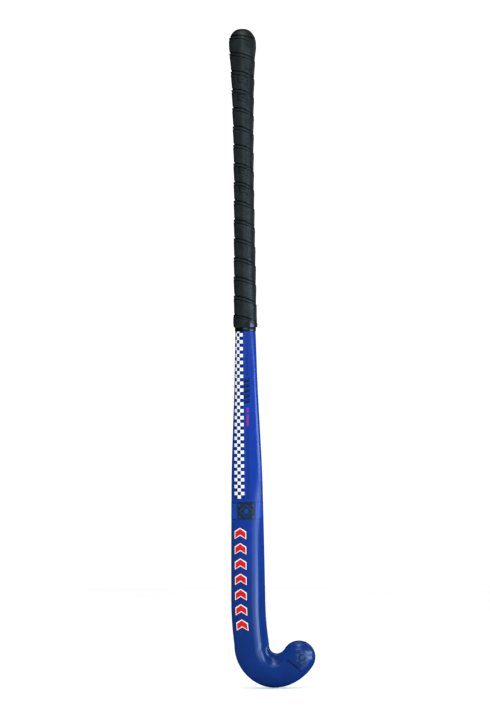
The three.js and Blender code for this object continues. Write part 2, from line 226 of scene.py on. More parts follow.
def back_rise(out, across, reach, height, carve, ridge):
    """Height of the rounded back above the parting line, as a share of its depth."""
    fullness = back_fullness(height)
    domed = np.maximum(0, 1 - out**fullness) ** (1 / fullness)
    rim = np.sqrt(np.maximum(0, 1 - np.clip((out - RIM_START) / (1 - RIM_START), 0, 1) ** 2))
    toward_toe = np.arctan2(reach, across)
    inner = 1 - ease(toward_toe, *INNER_SIDE)
    softened = np.maximum(ease(height, *SHOULDER_ENDS), SOFTENING * ease(height, *SOFTER_ABOVE))
    shoulder = mix(shouldered_back(out), domed, softened)
    past = RIDGE + (out - ridge) * (1 - RIDGE) / (1 - ridge)
    place_along = np.where(out < ridge, out * RIDGE / ridge, past)
    grooved = 1 - ease(ridge, *GROOVE_RIDGES)
    carved = mix(flanked_back(place_along), grooved_back(place_along), grooved) * rim
    rise = mix(domed, mix(shoulder, carved, carve), inner)
    round_the_toe = np.where(np.asarray(reach) > 0, toward_toe, 0)
    crease_at = CREASE_PLACE + CREASE_DRIFT * ease(round_the_toe, *CREASE_DRIFT_TURN)
    crease = np.exp(-(((out - crease_at) / CREASE_WIDTH) ** 2)) * (1 - ease(round_the_toe, *CREASE_END))
    return rise - TOE_CREASE * crease * ease(reach, 0, CREASE_REACH)


def shaft_swing(height):
    return HEAD_SWING * np.clip((SWING_TOP - height) / (SWING_TOP - BEND_CENTRE[1]), 0, None) ** 2


def shaft_point(height, turn, grow=0.0):
    """Points of the shaft or handle, grown outward; height and turn may be arrays."""
    ridge = mix(ridge_place(math.degrees(BEND_START)), RIDGE, ease(height, *RIDGE_SETTLES))
    along, depth = outline(turn, shell_half_width(height), height, grow=grow, ridge=ridge)
    return np.stack([shaft_swing(height) + along, depth + bow(height), height + 0 * along], -1)


def grip_point(height, turn, lift=0.0):
    """Points of the wound grip's surface, lifted off it."""
    return shaft_point(height, turn, grip_half_width(height) - shell_half_width(height) + lift)


def bend_station(angle):
    """Middle of a section of the bend, its direction toward the inner edge, and its half width."""
    outer = mix(*OUTER_RADIUS, ease(angle, *OUTER_TAPER))
    inner = mix(*INNER_RADIUS, ease(angle, *INNER_TAPER))
    middle = (outer + inner) / 2
    x = BEND_CENTRE[0] + middle * math.cos(angle)
    z = BEND_CENTRE[1] + middle * math.sin(angle)
    return x, z, -math.cos(angle), -math.sin(angle), (outer - inner) / 2


def bend_relief(angle):
    degrees = math.degrees(angle)
    return {"carve": bend_carving(degrees), "ridge": ridge_place(degrees)}


def bend_ring(angle, turn):
    x, z, across_x, across_z, half = bend_station(angle)
    along, depth = outline(turn, half, BEND_CENTRE[1], **bend_relief(angle))
    return on_plan(x + across_x * along, z + across_z * along, depth)


def toe_ring(angle, turn):
    """A section of the round toe, from its start at angle 0 to its tip at a quarter turn."""
    x, z, across_x, across_z, full = bend_station(BEND_END)
    reach = full * math.sin(angle)
    half = full * math.cos(angle)
    along, depth = outline(turn, half, BEND_CENTRE[1], full=full, reach=reach, **bend_relief(BEND_END))
    return on_plan(x + across_z * reach + across_x * along, z - across_x * reach + across_z * along, depth)


def on_plan(x, z, depth):
    return np.stack([x, depth + bow(z), z], -1)


# ---- meshes ----
def place(points):
    """Millimetre points to the frame's metres."""
    return np.asarray(points, float) * MM + np.array([0, 0, FOOT])


def mesh_object(name, points, faces):
    mesh = bpy.data.meshes.new(name)
    mesh.from_pydata(place(points).tolist(), [], [list(map(int, f)) for f in faces])
    mesh.update()
    made = bmesh.new()
    made.from_mesh(mesh)
    bmesh.ops.recalc_face_normals(made, faces=made.faces)
    made.to_mesh(mesh)
    made.free()
    mesh.polygons.foreach_set("use_smooth", [True] * len(mesh.polygons))
    piece = bpy.data.objects.new(name, mesh)
    bpy.context.scene.collection.objects.link(piece)
    return piece


def grid_faces(rows, columns, wrap=False, start=0):
    """Quads over a grid of points, numbered row by row from start."""
    faces = []
    for r in range(rows - 1):
        for c in range(columns if wrap else columns - 1):
            d = (c + 1) % columns
            a, b = start + r * columns, start + (r + 1) * columns
            faces.append((a + c, a + d, b + d, b + c))
    return faces


def tube(name, rings, closed=False):
    """A solid through rings: a sleeve if closed, and otherwise capped at both ends."""
    rings = np.asarray(rings)
    rows, columns = rings.shape[:2]
    faces = grid_faces(rows, columns, wrap=True)
    if closed:
        last = (rows - 1) * columns
        faces += [(last + c, last + (c + 1) % columns, (c + 1) % columns, c) for c in range(columns)]
    else:
        faces += [tuple(range(columns)), tuple(range((rows - 1) * columns, rows * columns))]
    return mesh_object(name, rings.reshape(-1, 3), faces)


def finish_piece(piece, look, slot, *nodes):
    """Gives a piece its material, hides the CAD nodes that it stands for, and lets it ride on the root body.
    """
    looks = look if isinstance(look, (list, tuple)) else [look]
    for each in looks:
        piece.data.materials.append(each)
    if nodes:
        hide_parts(*nodes)
    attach(piece, "root")


def subdivide(piece):
    modifier = piece.modifiers.new("subdivision", "SUBSURF")
    modifier.levels = modifier.render_levels = 1


# ---- materials ----
class Look:
    """A node material round one Principled shader. Patterns use the object's own coordinates, in metres."""

    def __init__(self, name, roughness, **sockets):
        self.material = bpy.data.materials.new(name)
        self.material.use_nodes = True
        self.nodes = self.material.node_tree.nodes
        self.links = self.material.node_tree.links
        self.shader = self.nodes["Principled BSDF"]
        self.shader.inputs["Roughness"].default_value = roughness
        for socket, value in sockets.items():
            self.shader.inputs[socket.replace("_", " ")].default_value = value
        self.coordinates = self.nodes.new("ShaderNodeTexCoord").outputs["Object"]

    def pattern(self, kind, scale, stretch=(1, 1, 1), **settings):
        """A texture's value output. kind is Noise, Voronoi or Wave."""
        mapping = self.nodes.new("ShaderNodeMapping")
        mapping.inputs["Scale"].default_value = stretch
        texture = self.nodes.new(f"ShaderNodeTex{kind}")
        texture.inputs["Scale"].default_value = scale
        for socket, value in settings.items():
            texture.inputs[socket].default_value = value
        self.links.new(self.coordinates, mapping.inputs["Vector"])
        self.links.new(mapping.outputs["Vector"], texture.inputs["Vector"])
        return texture.outputs["Distance" if kind == "Voronoi" else "Fac"]

    def colour(self, pattern, low, high):
        ramp = self.nodes.new("ShaderNodeValToRGB")
        for element, position, colour in zip(ramp.color_ramp.elements, (0.35, 0.65), (low, high)):
            element.position = position
            element.color = (*colour, 1)
        self.links.new(pattern, ramp.inputs["Fac"])
        self.links.new(ramp.outputs["Color"], self.shader.inputs["Base Color"])

    def shade_by_height(self, stops):
        """Paints shade into the base colour: multiplies it by a tint that changes with height, given as
        (height, tint) stops.
        """
        source = self.shader.inputs["Base Color"].links[0].from_socket
        split = self.nodes.new("ShaderNodeSeparateXYZ")
        self.links.new(self.coordinates, split.inputs["Vector"])
        spread = self.nodes.new("ShaderNodeMapRange")
        spread.inputs["From Min"].default_value = FOOT
        spread.inputs["From Max"].default_value = FOOT + LENGTH * MM
        self.links.new(split.outputs["Z"], spread.inputs["Value"])
        ramp = self.nodes.new("ShaderNodeValToRGB")
        for height, _ in stops[1:-1]:
            ramp.color_ramp.elements.new(height / LENGTH)
        for element, (height, tint) in zip(ramp.color_ramp.elements, stops):
            element.position = height / LENGTH
            element.color = (*tint, 1)
        self.links.new(spread.outputs["Result"], ramp.inputs["Fac"])
        product = self.nodes.new("ShaderNodeMix")
        product.data_type = "RGBA"
        product.blend_type = "MULTIPLY"
        product.inputs["Factor"].default_value = 1
        self.links.new(source, product.inputs["A"])
        self.links.new(ramp.outputs["Color"], product.inputs["B"])
        self.links.new(product.outputs["Result"], self.shader.inputs["Base Color"])

    def roughness(self, pattern, low, high):
        spread = self.nodes.new("ShaderNodeMapRange")
        spread.inputs["To Min"].default_value = low
        spread.inputs["To Max"].default_value = high
        self.links.new(pattern, spread.inputs["Value"])
        self.links.new(spread.outputs["Result"], self.shader.inputs["Roughness"])

    def bumps(self, *layers):
        """Each layer is (pattern, height in metres). The coat follows the same relief."""
        previous = None
        for pattern, height in layers:
            bump = self.nodes.new("ShaderNodeBump")
            bump.inputs["Distance"].default_value = height
            self.links.new(pattern, bump.inputs["Height"])
            if previous:
                self.links.new(previous, bump.inputs["Normal"])
            previous = bump.outputs["Normal"]
        self.links.new(previous, self.shader.inputs["Normal"])
        self.links.new(previous, self.shader.inputs["Coat Normal"])


def tinted(colour, share):
    return tuple(c * share for c in colour)


# Painted shade: the blue is made darker and greyer from the handle down to the head, standing in for the
# softer light that falls there.
HEAD_SHADE_TINTS = [
    (0, (2.4, 0.74, 0.50)), (60, (2.4, 0.76, 0.53)), (120, (1.9, 0.80, 0.60)),
    (200, (1.6, 0.86, 0.73)), (300, (1.2, 0.95, 0.92)), (520, (1, 1, 1)),
]
CLEAR_COAT = {"Coat_Weight": 1.0, "Coat_Roughness": 0.23, "Coat_IOR": 1.45, "Specular_IOR_Level": 0.0}
PAINT_ROUGHNESS = 0.42
GRIP_DARK = (0.0085, 0.0115, 0.012)
GRIP_LIGHT = (0.013, 0.0175, 0.018)


def lacquered(name, colour, variation=0.06, shade_by_height=False):
    """Paint or film under the stick's clear coat, with fine flecks, a faint orange peel, and painted shade
    toward the head when that is asked for.
    """
    look = Look(name, PAINT_ROUGHNESS, **CLEAR_COAT)
    cloud = look.pattern("Noise", 45, Detail=4)
    fleck = look.pattern("Noise", 2600, Detail=2)
    look.colour(cloud, tinted(colour, 1 - variation), tinted(colour, 1 + variation))
    look.roughness(fleck, PAINT_ROUGHNESS - 0.05, PAINT_ROUGHNESS + 0.07)
    peel = look.pattern("Noise", 330, Detail=1)
    look.bumps((peel, 0.000012), (fleck, 0.000002))
    # Painted shade: darker and greyer toward the head.
    if shade_by_height:
        look.shade_by_height(HEAD_SHADE_TINTS)
    return look.material


def moulded(name, colour, roughness, grain=900, depth=0.00003):
    """Plain moulded plastic, foam or rubber."""
    look = Look(name, roughness)
    look.colour(look.pattern("Noise", 60, Detail=5), tinted(colour, 0.85), tinted(colour, 1.15))
    fine = look.pattern("Voronoi", grain)
    look.roughness(fine, roughness - 0.06, roughness + 0.08)
    look.bumps((fine, depth))
    return look.material


def grip_polyurethane(name, share, roughness):
    """The tape's soft, finely creased black plastic, with its colour multiplied by share."""
    look = Look(name, roughness, Specular_IOR_Level=0.32)
    cloud = look.pattern("Noise", 70, Detail=6)
    look.colour(cloud, tinted(GRIP_DARK, share), tinted(GRIP_LIGHT, share))
    grain = look.pattern("Voronoi", 1500)
    look.roughness(cloud, roughness - 0.05, roughness + 0.07)
    ripples = look.pattern("Noise", 420, stretch=(0.25, 0.25, 2.4), Detail=2)
    creases = look.pattern("Noise", 120, stretch=(1, 1, 1.6), Detail=3)
    look.bumps((grain, 0.00004), (ripples, 0.00022), (creases, 0.0002))
    return look.material


def finish_vinyl():
    look = Look("finish_vinyl", 0.3, Coat_Weight=0.35, Coat_Roughness=0.1)
    look.colour(look.pattern("Noise", 80), (0.002, 0.003, 0.004), (0.004, 0.005, 0.007))
    look.bumps((look.pattern("Noise", 260, stretch=(1, 1, 3)), 0.00012))
    return look.material


# The shell's blue, with painted shade toward the head.
blue_lacquer = lacquered("blue_lacquer", (0.0004, 0.028, 0.255), shade_by_height=True)
band_blue = lacquered("band_blue", (0.0012, 0.036, 0.29))
band_line = lacquered("band_line_navy", (0.001, 0.011, 0.055))
halo_blue = lacquered("halo_blue", (0.0008, 0.016, 0.115))
strip_navy = lacquered("strip_navy", (0.0006, 0.0135, 0.15))
stripe_navy = lacquered("stripe_navy", (0.0062, 0.0225, 0.165))
stripe_dark = lacquered("stripe_dark", (0.0085, 0.0155, 0.095))
white_film = lacquered("white_film", (0.69, 0.69, 0.63), variation=0.03)
seam_grey = lacquered("seam_grey", (0.46, 0.48, 0.46), variation=0.03)
red_film = lacquered("red_film", (0.57, 0.002, 0.003))
dash_red = lacquered("dash_red", (0.42, 0.008, 0.05), variation=0.08)
black_film = lacquered("black_film", (0.004, 0.010, 0.018), variation=0.1)
badge_black = lacquered("badge_black", (0.0085, 0.020, 0.028), variation=0.1)
badge_blue = lacquered("badge_blue", (0.004, 0.035, 0.24))
toe_grey = lacquered("toe_grey", (0.034, 0.055, 0.105), variation=0.1)
grip_look = grip_polyurethane("grip_polyurethane", 1.0, 0.36)
# Painted shade: the tape's black at an eighth of its brightness, for the creases between turns and the gap
# under the cap. In the creases it also stands for the tape's dark cut edge.
grip_crease_shade = grip_polyurethane("grip_crease_shade", 0.12, 0.6)
grip_pressed = grip_polyurethane("grip_pressed", 0.5, 0.3)
cap_rubber = moulded("cap_rubber", (0.0095, 0.0125, 0.0125), 0.4, grain=1400, depth=0.00002)
vinyl = finish_vinyl()


# ---- the lacquered shell ----
ROUND = np.linspace(0, 2 * math.pi, 120, endpoint=False)  # once round a section, from its inner edge
SHELL_HEIGHTS = np.concatenate([
    np.linspace(905, 600, 24),  # hidden under the grip
    np.linspace(590, 62, 132),  # from the grip's lower end down to the bend
])
BEND_RINGS = 64
TOE_RINGS = 30
TOE_TIP = math.pi / 2 - 0.03  # the last ring, which is capped, stops this close to the tip


def build_shell():
    rings = [shaft_point(np.full(ROUND.shape, height), ROUND) for height in SHELL_HEIGHTS]
    rings += [bend_ring(angle, ROUND) for angle in np.linspace(BEND_START, BEND_END, BEND_RINGS)]
    rings += [toe_ring(angle, ROUND) for angle in np.linspace(0, TOE_TIP, TOE_RINGS)[1:]]
    shell = tube("lacquered_shell", rings)
    finish_piece(shell, blue_lacquer, "blue_lacquer", "moulded_shell")


# ---- the grip ----
# The tape's section: distance down from its upper edge as a share of the pitch, and lift in millimetres. The
# upper edge lies over the turn above it, and a thin line runs along its thinned margin.
TAPE_LIFT = profile([
    (0.0, -0.9), (0.008, -0.5), (0.02, 0.45), (0.045, 0.86), (0.08, 0.92), (0.125, 0.82),
    (0.140, 0.74), (0.150, 0.2), (0.172, 0.2), (0.182, 0.78), (0.22, 0.88), (0.35, 0.74),
    (0.55, 0.52), (0.75, 0.30), (0.90, 0.12), (0.94, -0.05), (0.965, -0.65), (1.0, -0.95),
])
TAPE_DOWNS = np.concatenate([
    np.linspace(0, 0.1, 12),
    np.linspace(0.12, 0.2, 11),
    np.linspace(0.22, 0.9, 26),
    np.linspace(0.92, 1.0, 8),
])
TAPE_INNER_LIFT = -1.3
# Rows whose faces get the painted shade: the crease at each turn's edges and the groove of the margin line.
CREASE_ROWS = [i for i, down in enumerate(TAPE_DOWNS) if down < 0.012 or down > 0.955]
MARGIN_ROWS = [i for i, down in enumerate(TAPE_DOWNS) if 0.14 < down < 0.178]
FIRST_TURN, LAST_TURN = -1, 16
STEPS_PER_TURN = 128
LEAN_TURNS = 30  # the tape's lean lessens by one part in this many with each turn
SHORTEST_SHOWN = 1.5  # a turn is left out where less than this shows of it
# Where the lowest turns are cut off level, they stay thick down to the cut.
CUT_LIFT = 0.9
CUT_BELOW = 0.3  # the share of the section that this starts at
CUT_ROUNDING = 6

SEAM_ABOVE = 0.6  # how far above the grip's top the tape meets the butt cap, before the next two are added
SEAM_SWAY = 3.4
SEAM_TILT = 1.7

# Pressed marks on the tape: heights of their middles, each a square frame with a diamond in it.
PRESSED_HEIGHTS = (855.0, 829.0, 727.0, 701.0)
PRESSED_SIZE = (7.6, 5.6)  # half the width and half the height
PRESSED_FROM_MIDDLE = 0.5  # how far the marks lie off the middle of the back
PRESSED_SLANT = 0.3
PRESSED_DEPTH = 0.3
FRAME_INSIDE = 0.68  # the frame's inner edge and the diamond's points, as shares of that size
DIAMOND_REACH = 0.42
GRIP_RADIUS = 14.5  # about what it is at the back, for measuring across it
BACK_TURN = 1.5 * math.pi  # the direction of the back's middle in a section


def seam_height(turn):
    """Height of the line where the tape meets the butt cap: higher at the front and back, as the tape is cut,
    and on the heel's side."""
    return GRIP_TOP + SEAM_ABOVE + SEAM_SWAY * np.sin(turn) ** 2 - SEAM_TILT * np.cos(turn)


def tape_edge(turns):
    """Height of a turn's upper edge, which is also the lower edge of the turn above it."""
    below = turns - 0.5
    lean = TAPE_LEAN * (1 - below / LEAN_TURNS)
    straight = FIRST_CREASE - TAPE_PITCH * below - TAPE_STRETCH * below**2
    return straight - lean * math.sin(2 * math.pi * turns)


def pressed(turn, height):
    """1 where a generic mark is pressed into the tape, and 0 elsewhere."""
    distance = (turn % (2 * math.pi) - BACK_TURN) * GRIP_RADIUS + PRESSED_FROM_MIDDLE
    marked = np.zeros(height.shape)
    for middle in PRESSED_HEIGHTS:
        u = abs(distance) / PRESSED_SIZE[0]
        v = abs(height - middle + PRESSED_SLANT * distance) / PRESSED_SIZE[1]
        frame_share = np.maximum(u, v)
        marked = np.where((frame_share < 1) & (frame_share > FRAME_INSIDE), 1, marked)
        marked = np.where(u + v < DIAMOND_REACH, 1, marked)
    return marked


def build_grip():
    """The tape as one strip wound down the handle, with painted shade in its creases and a look of their own
    for pressed marks.
    """
    rings, marks = [], []
    for step in range(FIRST_TURN * STEPS_PER_TURN, LAST_TURN * STEPS_PER_TURN):
        turns = step / STEPS_PER_TURN
        turn = 2 * math.pi * turns
        top = min(float(seam_height(turn)), tape_edge(turns))
        bottom = max(GRIP_BOTTOM, tape_edge(turns + 1))
        if top - bottom < SHORTEST_SHOWN:
            continue
        height = top - TAPE_DOWNS * (top - bottom)
        cut_level = bottom == GRIP_BOTTOM
        lift = TAPE_LIFT(TAPE_DOWNS)
        if cut_level:
            thick = CUT_LIFT * np.sqrt(1 - np.clip(TAPE_DOWNS, 0, 1) ** CUT_ROUNDING)
            lift = np.where(TAPE_DOWNS > CUT_BELOW, np.maximum(lift, thick), lift)
        mark = pressed(turn, height)
        lift = lift - PRESSED_DEPTH * mark
        outer = grip_point(height, turn, lift)
        inner_height = np.linspace(height[-1], height[0], 4)
        inner = grip_point(inner_height, turn, TAPE_INNER_LIFT)
        rings.append(np.concatenate([outer, inner]))
        marks.append((mark, cut_level))
    grip = tube("wound_grip", rings)
    columns = len(rings[0])
    looks = []
    for (mark_here, cut_level), (mark_next, _) in zip(marks, marks[1:]):
        for c in range(columns):
            on_top = c < len(TAPE_DOWNS) - 1
            # Faces in the creases and in the margin line get the painted shade.
            in_crease = c in CREASE_ROWS or c in MARGIN_ROWS
            cut_off = cut_level and c > len(TAPE_DOWNS) / 2
            crease = on_top and in_crease and not cut_off
            mark = on_top and mark_here[c] + mark_next[c] + mark_here[c + 1] + mark_next[c + 1] > 2
            looks.append(1 if crease else 2 if mark else 0)
    looks += [0] * (len(grip.data.polygons) - len(looks))
    grip.data.polygons.foreach_set("material_index", looks)
    finish_piece(grip, [grip_look, grip_crease_shade, grip_pressed], "grip_tape", "grip_tape")


# The cap's rings: height above the seam at the back, distance in from the widest part, and how far the ring
# follows the seam's line.
CAP_STEPS = [
    (-16.0, 1.2, 1.0), (-3.2, 1.4, 1.0), (-1.0, 2.3, 1.0), (0.3, 2.7, 1.0), (0.9, 2.7, 1.0),
    (1.3, 2.2, 0.9), (2.2, 2.75, 0.75), (3.6, 3.5, 0.6), (5.2, 4.7, 0.42), (6.8, 6.2, 0.28),
    (8.1, 8.0, 0.16), (9.1, 10.0, 0.08), (9.8, 12.2, 0.03), (10.2, 14.4, 0.0), (10.35, 16.6, 0.0),
]
CAP_GAP = range(2, 5)  # the rows of faces painted dark as shade in the gap
CAP_WIDEST = (18.5, 20.0)  # half its width and half its depth, before the inset
CAP_DEEPER_INSET = 1.04  # how much faster the cap narrows from front to back than from side to side
CAP_FLARE = 0.45  # how much wider it is for each millimetre that the seam is lower


def build_cap():
    """A domed cap whose side goes down inside the tape, with painted shade in the gap where they meet."""
    seam = float(seam_height(BACK_TURN))
    line = seam_height(ROUND) - seam
    rings = []
    for above, inset, follow in CAP_STEPS:
        wider = CAP_FLARE * follow * -line
        x = (CAP_WIDEST[0] - inset + wider) * np.cos(ROUND)
        y = (CAP_WIDEST[1] - inset * CAP_DEEPER_INSET + wider) * np.sin(ROUND)
        rings.append(np.stack([x, y, seam + above + follow * line], -1))
    cap = tube("domed_butt_cap", rings)
    # The gap's rows get the painted shade.
    looks = [1 if i // len(ROUND) in CAP_GAP else 0 for i in range(len(cap.data.polygons))]
    cap.data.polygons.foreach_set("material_index", looks)
    subdivide(cap)
    finish_piece(cap, [cap_rubber, grip_crease_shade], "cap_rubber", "butt_cap")


# The finish tape's section: share of its height, and lift off the shell.
FINISH_SECTION = [(0, 0.1), (0, 0.5), (0.12, 0.62), (0.5, 0.66), (0.88, 0.64), (1, 0.5), (1, 0.1)]
FINISH_OVERLAP = 0.5  # how far it goes up past the CAD ring


def build_finish_tape():
    rings = []
    for share, lift in FINISH_SECTION:
        height = np.full(ROUND.shape, mix(TAPE_BOTTOM, TAPE_TOP + FINISH_OVERLAP, share))
        rings.append(shaft_point(height, ROUND, lift))
    ring = tube("finish_tape_ring", rings, closed=True)
    finish_piece(ring, vinyl, "finish_vinyl", "finish_tape")


# ---- decals on the shaft ----
AROUND = np.linspace(math.pi / 2, 5 * math.pi / 2, 721)  # once round a section, with the back in the middle
SECTIONS_PER_MM = 4  # of height, kept for use again
NEARBY = 0.3  # how far each way a decal looks for the surface's direction


@functools.lru_cache(maxsize=None)
def section_walk(height, at):
    """Distance walked round a section from the middle of the back, with the section's x and y."""
    ring = at(np.full(AROUND.shape, height), AROUND)
    walked = np.concatenate([[0], np.cumsum(np.hypot(np.diff(ring[:, 0]), np.diff(ring[:, 1])))])
    return walked - walked[len(AROUND) // 2], ring[:, 0], ring[:, 1]


def on_shaft(distance, height, lift, at):
    """A point on the shaft at a distance along the surface from the middle of the back, positive toward the
    toe's side. Heights are taken square to the bowed shaft, as a decal is laid."""
    walked, xs, ys = section_walk(round(height * SECTIONS_PER_MM) / SECTIONS_PER_MM, at)
    y = np.interp(distance, walked, ys)
    tilted = height + (y - float(bow(height))) * float(bow_slope(height))
    walked, xs, ys = section_walk(round(tilted * SECTIONS_PER_MM) / SECTIONS_PER_MM, at)
    ends = (distance - NEARBY, distance, distance + NEARBY)
    (x0, x, x1), (y0, y, y1) = np.interp(ends, walked, xs), np.interp(ends, walked, ys)
    length = math.hypot(x1 - x0, y1 - y0)
    return x + (y1 - y0) / length * lift, y - (x1 - x0) / length * lift, tilted


class Film:
    """Thin printed shapes that lie on the shaft or the grip, gathered into one mesh."""

    thickness = 0.07
    row_height = 3.0
    sharp_edge = math.radians(40)

    def __init__(self, name, at=shaft_point):
        self.name, self.at = name, at
        self.points, self.faces, self.looks = [], [], []

    def point(self, distance, height, lift):
        return on_shaft(distance, height, lift, self.at)

    def patch(self, place_at, columns, rows, lift, look=0):
        """A four-sided patch: place_at(across, up), both from 0 to 1, gives (distance, height)."""
        start = len(self.points)
        for layer in (lift, lift - self.thickness):
            for up in np.linspace(0, 1, rows + 1):
                for across in np.linspace(0, 1, columns + 1):
                    self.points.append(self.point(*place_at(across, up), layer))
        self.close(start, columns, rows, look)

    def close(self, start, columns, rows, look):
        """Faces of a thin closed slab over two grids of points."""
        wide, count = columns + 1, (columns + 1) * (rows + 1)
        top = grid_faces(rows + 1, wide, start=start)
        faces = top + [tuple(i + count for i in reversed(f)) for f in top]
        edge = list(range(wide)) + [r * wide + columns for r in range(1, rows + 1)]
        edge += [rows * wide + c for c in range(columns - 1, -1, -1)]
        edge += [r * wide for r in range(rows - 1, 0, -1)]
        for a, b in zip(edge, edge[1:] + edge[:1]):
            faces.append((start + a, start + b, start + b + count, start + a + count))
        self.faces += faces
        self.looks += [look] * len(faces)

    def rectangle(self, left, right, bottom, top, lift=0.12, look=0, slant=0.0, step=1.6):
        """A rectangle in columns of at most step, whose right edge is slant higher than its left."""
        columns = max(1, math.ceil((right - left) / step))
        rows = max(1, math.ceil((top - bottom) / self.row_height))

        def place_at(across, up):
            return mix(left, right, across), mix(bottom, top, up) + slant * (across - 0.5)

        self.patch(place_at, columns, rows, lift, look)

    def chevron(self, left, right, bottom, top, rise, lift, look):
        """A band that is highest in its middle and rise lower at both its ends."""
        middle = (left + right) / 2

        def place_at(across, up):
            distance = mix(left, right, across)
            fall = rise * abs(distance - middle) / (right - middle)
            return distance, mix(bottom, top, up) - fall

        self.patch(place_at, 12, 4, lift, look)

    def build(self, looks, slot, *nodes):
        piece = mesh_object(self.name, np.array(self.points), self.faces)
        piece.data.polygons.foreach_set("material_index", self.looks)
        piece.data.set_sharp_from_angle(angle=self.sharp_edge)
        finish_piece(piece, looks, slot, *nodes)


STRIP_EDGES = (-18.5, -13.6, -8.7, -3.8)  # the columns of checks, from the middle of the back
STRIP_MARGIN = 0.2
CHECK_ROWS = 48.5  # the row next to the handle is cut off by the finish tape
CHECK_SEAM = 0.16  # half the width of the grey lines that part each white check in four


def build_check_strip():
    """Checks of white film in three columns on a navy ground, with grey film showing in their seams."""
    strip = Film("check_strip")
    end = TAPE_BOTTOM + STRIP_MARGIN
    pitch = (end - STRIP_BOTTOM) / CHECK_ROWS
    ground_left = STRIP_EDGES[0] - STRIP_MARGIN
    strip.rectangle(ground_left, STRIP_EDGES[-1], STRIP_BOTTOM, end, lift=0.08, look=1, step=1.2)
    for row in range(math.ceil(CHECK_ROWS)):
        low = STRIP_BOTTOM + row * pitch
        halfway, high = low + pitch / 2, min(low + pitch, end)
        for column in range(3):
            if (row + column) % 2 == 0:
                continue
            left, right = STRIP_EDGES[column], STRIP_EDGES[column + 1]
            middle = (left + right) / 2
            strip.rectangle(left, right, low, high, lift=0.12, look=2)
            for a, b in ((left, middle - CHECK_SEAM), (middle + CHECK_SEAM, right)):
                strip.rectangle(a, b, low, halfway - CHECK_SEAM, lift=0.15)
                if high > halfway + 2 * CHECK_SEAM:
                    strip.rectangle(a, b, halfway + CHECK_SEAM, high, lift=0.15)
    strip.build([white_film, strip_navy, seam_grey], "white_film", "check_strip_decal")


STRIPE_EDGES = (0.3, 3.3)
STRIPE_PITCH = 2.4
STRIPE_INSET = 0.3  # the dark slashes lie this far in from the stripe's edges
SLASH_BOTTOM, SLASH_TOP = 0.5, 1.5  # in each pitch


def build_pin_stripes():
    for node in ("upper_pin_stripe_decal", "lower_pin_stripe_decal"):
        stripe = Film(node.replace("_decal", ""))
        bottom, top = levels(node)
        left, right = STRIPE_EDGES
        stripe.rectangle(left, right, bottom, top, lift=0.1)
        left, right = left + STRIPE_INSET, right - STRIPE_INSET
        for i in range(int((top - bottom) / STRIPE_PITCH)):
            low = bottom + i * STRIPE_PITCH
            stripe.rectangle(left, right, low + SLASH_BOTTOM, low + SLASH_TOP, lift=0.14, look=1, slant=0.5)
        stripe.build([stripe_navy, stripe_dark], "navy_film", node)


BLOCK_COUNT = 5
BLOCK_EDGES = (-2.6, 4.9)
BLOCK_SLANT = 1.8
BLOCK_BARS = ((1.3, 4.2), (5.2, 6.5))  # bottoms and tops of each block's thick and thin bar


def build_slash_blocks():
    blocks = Film("slash_blocks")
    bottom, top = levels("slash_block_decal")
    pitch = (top - bottom) / BLOCK_COUNT
    for i in range(BLOCK_COUNT):
        for low, high in BLOCK_BARS:
            start = bottom + i * pitch
            blocks.rectangle(*BLOCK_EDGES, start + low, start + high, slant=BLOCK_SLANT)
    blocks.build(black_film, "black_film", "slash_block_decal")


DASH_COUNT = 11
BLANK_DASH = 7  # counted from 0 at the bottom, as a space in the row
DASH_EDGES = (0.5, 3.2)
DASH_HEIGHT = 1.3


def build_red_dashes():
    dashes = Film("red_dashes")
    bottom, top = levels("red_dash_decal")
    pitch = (top - bottom) / DASH_COUNT
    for i in range(DASH_COUNT):
        if i != BLANK_DASH:
            low = bottom + i * pitch
            dashes.rectangle(*DASH_EDGES, low, low + DASH_HEIGHT, step=1.5, slant=0.6)
    dashes.build(dash_red, "red_film", "red_dash_decal")


MARK_COUNT = 7
MARK_EDGES = (-19.8, -1.2)
MARK_RISE = 5.2
MARK_BELOW, MARK_ABOVE = 0.6, 1.8  # how far the print's lowest and highest points lie above the CAD decal's
BORDER_SLOPE = 1.2  # how much wider a border is measured up the stick than across it
MARK_LAYERS = ((0.0, 0.10), (0.8, 0.15), (1.9, 0.20))  # border and lift of the halo, the white and the red


def build_red_marks():
    left, right = MARK_EDGES
    for i in range(1, MARK_COUNT + 1):
        node = f"red_mark_{i}_decal"
        low, high = levels(node)
        mark = Film(f"red_mark_{i}")
        for look, (border, lift) in enumerate(MARK_LAYERS):
            bottom = low + MARK_RISE + MARK_BELOW + border * BORDER_SLOPE
            top = high + MARK_ABOVE - border * BORDER_SLOPE
            mark.chevron(left + border, right - border, bottom, top, MARK_RISE, lift, look)
        mark.build([halo_blue, white_film, red_film], "red_film", node)


BADGE_EDGES = (-14.6, 11.6)
BADGE_OVER = 1.0  # how far the badge goes up past the band
BADGE_PRINT = 0.19  # lift of the pattern on it
BADGE_RING = (8.6, 9.7)  # distances from its middle to the corners of the ring's inner and outer outlines
BADGE_DIAMOND = (0.3, 4.2)
BADGE_CORNER = (9.6, 8.2)  # from its middle to the small squares near its corners
BADGE_SQUARE = 1.3  # half a side
BAND_STEPS = 90  # once round the stick
BAND_GAP = 0.6  # beside the badge
BAND_INSET = 1.2  # from the outer edges of the CAD lines
LINE_GAP = 2.2
LINE_WIDTH = 1.0


